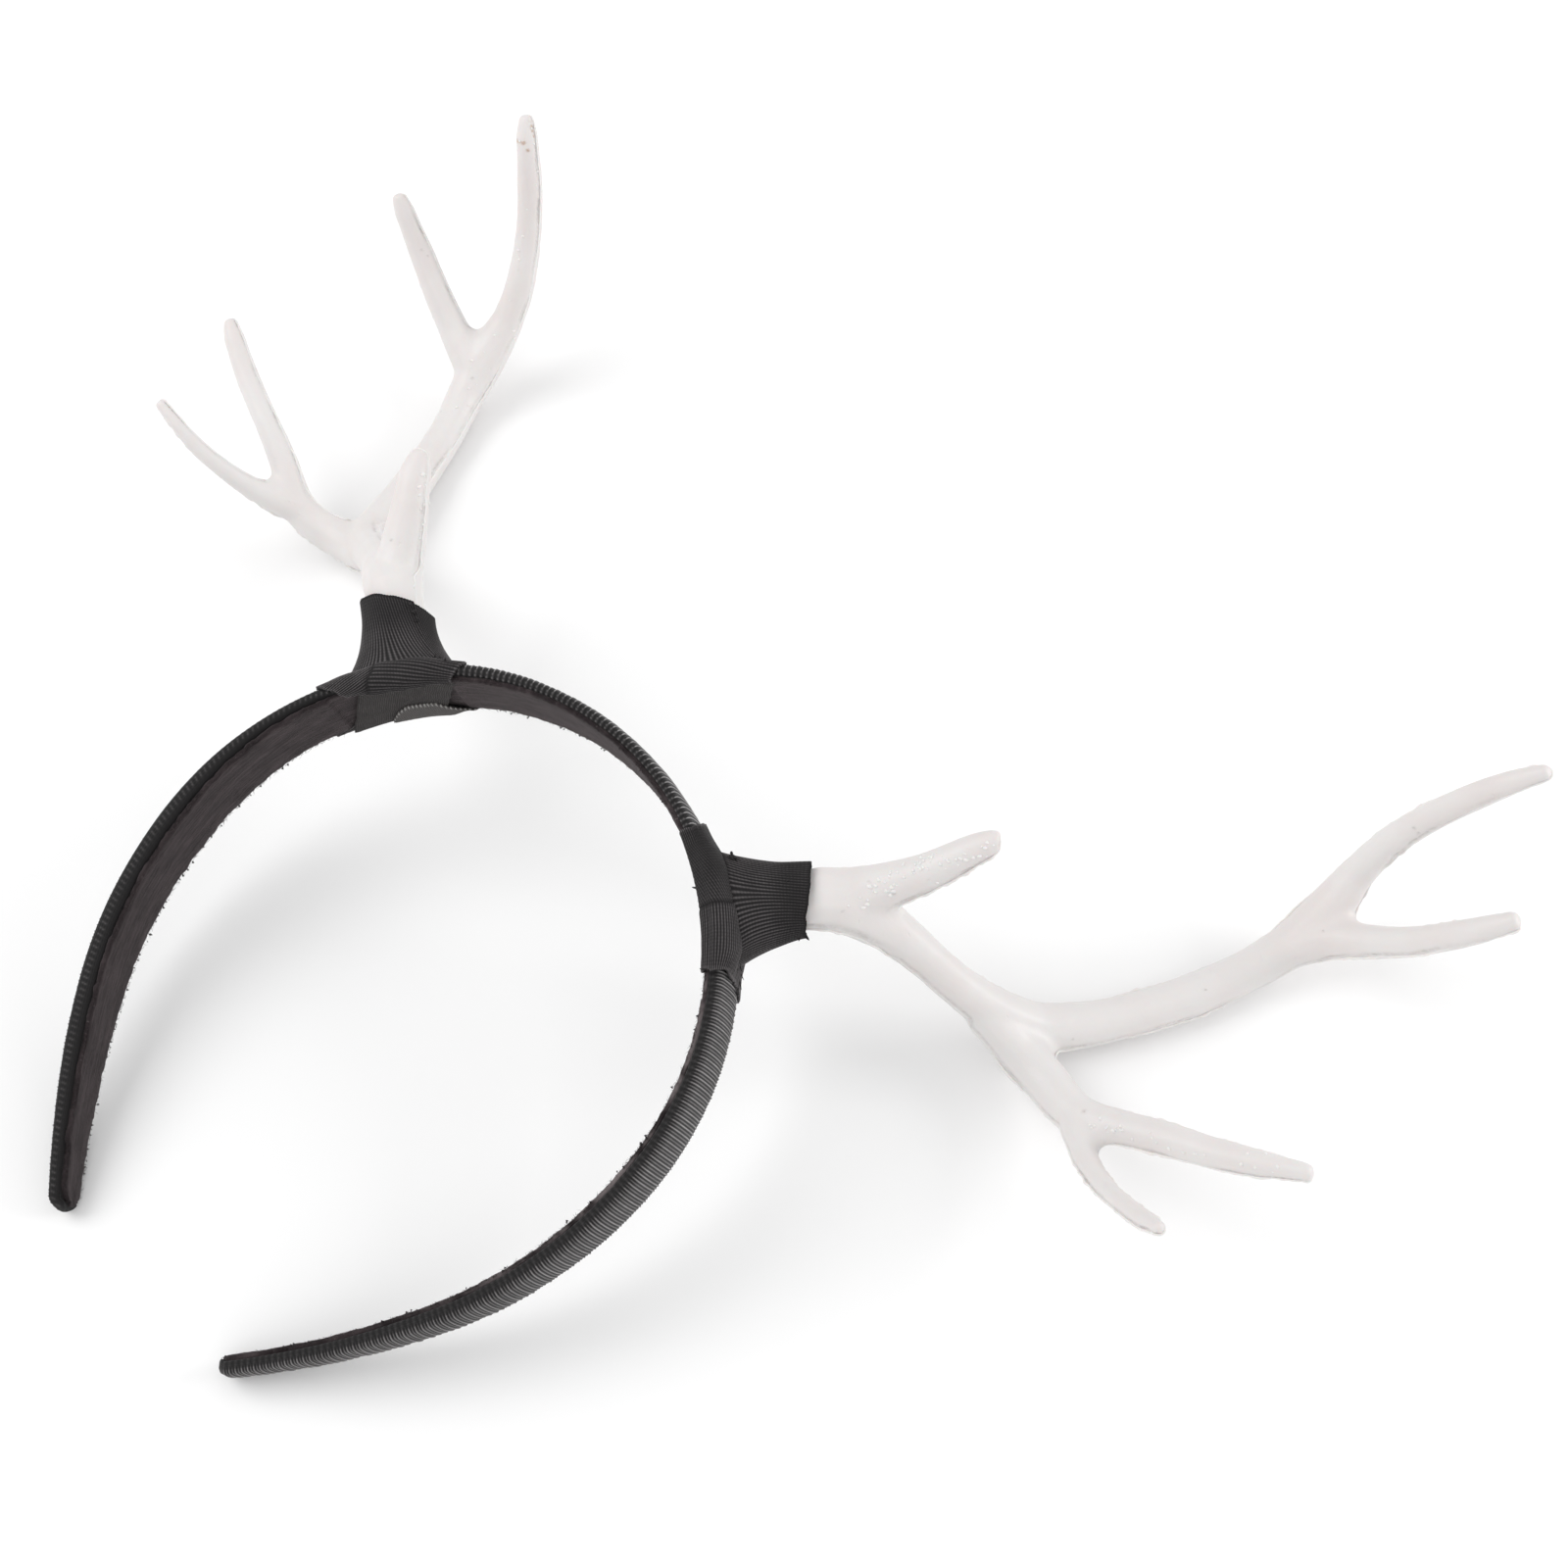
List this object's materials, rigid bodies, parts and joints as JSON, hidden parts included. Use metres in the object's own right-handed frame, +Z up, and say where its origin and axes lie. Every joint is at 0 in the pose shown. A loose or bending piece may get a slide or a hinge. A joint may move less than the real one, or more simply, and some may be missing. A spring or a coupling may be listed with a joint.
{
  "type": "antler headband",
  "caption": "Black ribbon-covered hoop headband with two off-white branching antlers bound to it by wound ribbon, lying on its back.",
  "frame": {"origin": "centre of the bounding box's underside: the surface that the headband lies on", "axes": "+Z up from the surface, +Y from the hoop's tips towards its crown, +X towards the wearer's left"},
  "size_m": [0.3414, 0.263, 0.0697],
  "materials": {
    "ribbon": "matt black grosgrain ribbon",
    "lining": "matt dark brown-black velvety strip",
    "antler": "satin off-white cast resin"
  },
  "bodies": {
    "root": {"band": "ribbon", "lining": "lining", "saddle_right": "ribbon", "saddle_left": "ribbon", "sleeve_right": "ribbon", "sleeve_left": "ribbon", "patch_right": "ribbon", "patch_left": "ribbon", "strip_left": "ribbon", "antler_right": "antler", "antler_left": "antler"}
  },
  "joints": []
}
